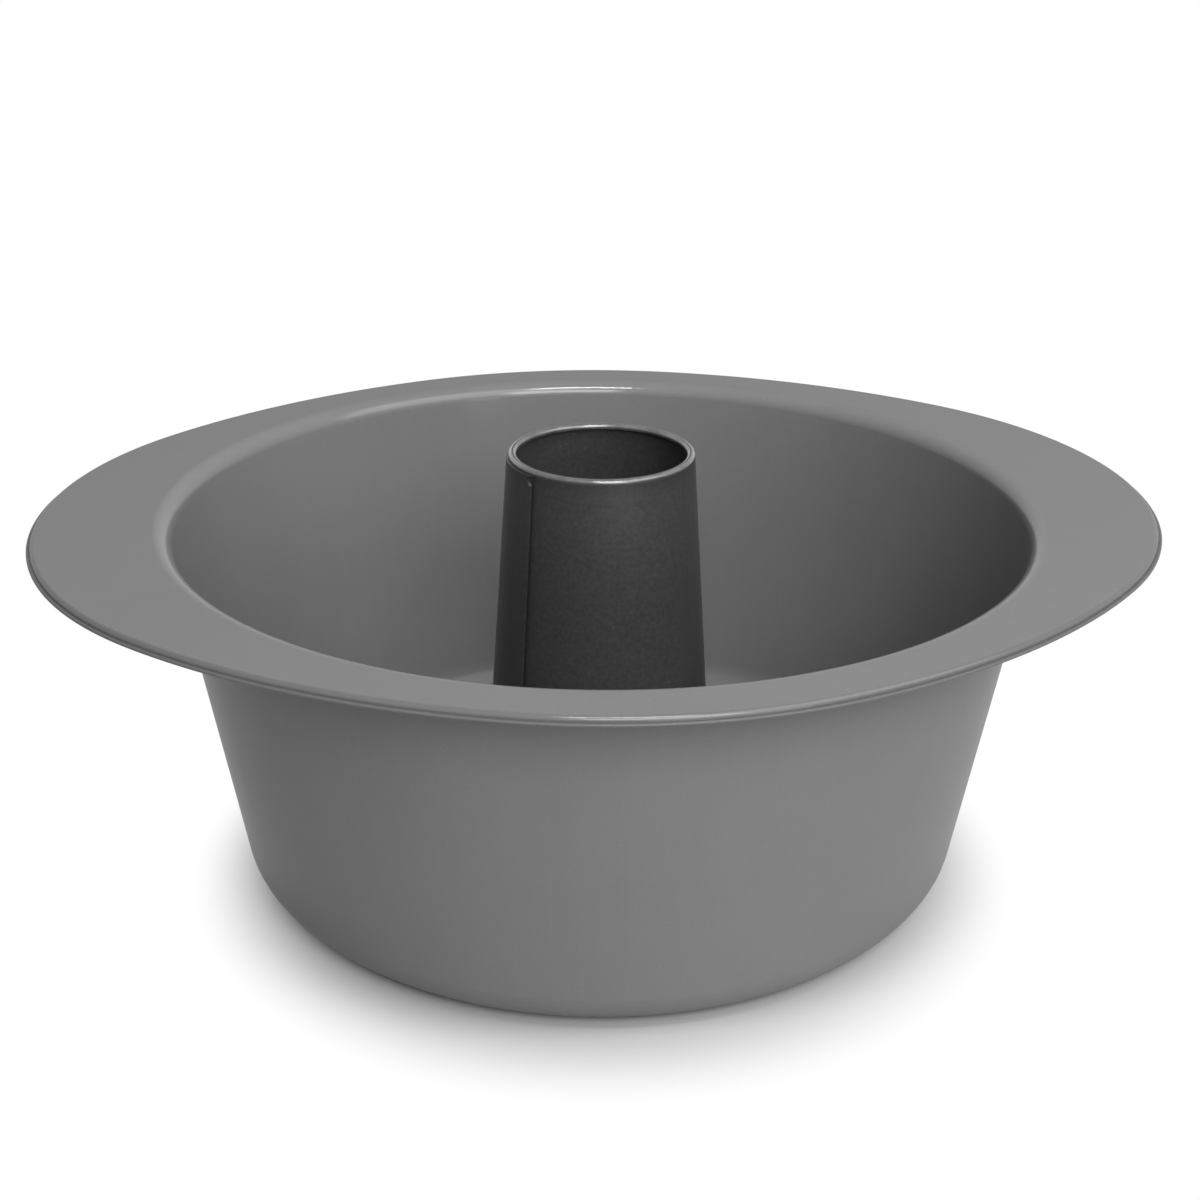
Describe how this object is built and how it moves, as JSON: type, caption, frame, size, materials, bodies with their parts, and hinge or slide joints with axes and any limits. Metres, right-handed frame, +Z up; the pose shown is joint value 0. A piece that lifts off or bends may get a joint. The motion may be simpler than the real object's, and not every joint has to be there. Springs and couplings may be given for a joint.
{
  "type": "two-piece tube cake pan",
  "caption": "Round tapered tube cake pan with an oval flange drawn out into two handle wings, and a lift-out floor that carries a tapered centre tube.",
  "frame": {"origin": "on the pan's axis, in the plane of the ring that the pan stands on", "axes": "+Z up along the pan's axis, X along the two handle wings, Y across them"},
  "size_m": [0.3052, 0.2668, 0.1175],
  "materials": {
    "shell_coating": "mid grey satin non-stick coating",
    "insert_coating": "charcoal satin non-stick coating"
  },
  "bodies": {
    "shell": {"pan_shell": "shell_coating"},
    "insert": {"base_plate": "insert_coating", "center_tube": "insert_coating"}
  },
  "joints": [
    {"name": "insert_lift", "type": "slide", "parent": "shell", "child": "insert", "axis": [0, 0, 1], "range_m": [0, 0.125]}
  ]
}
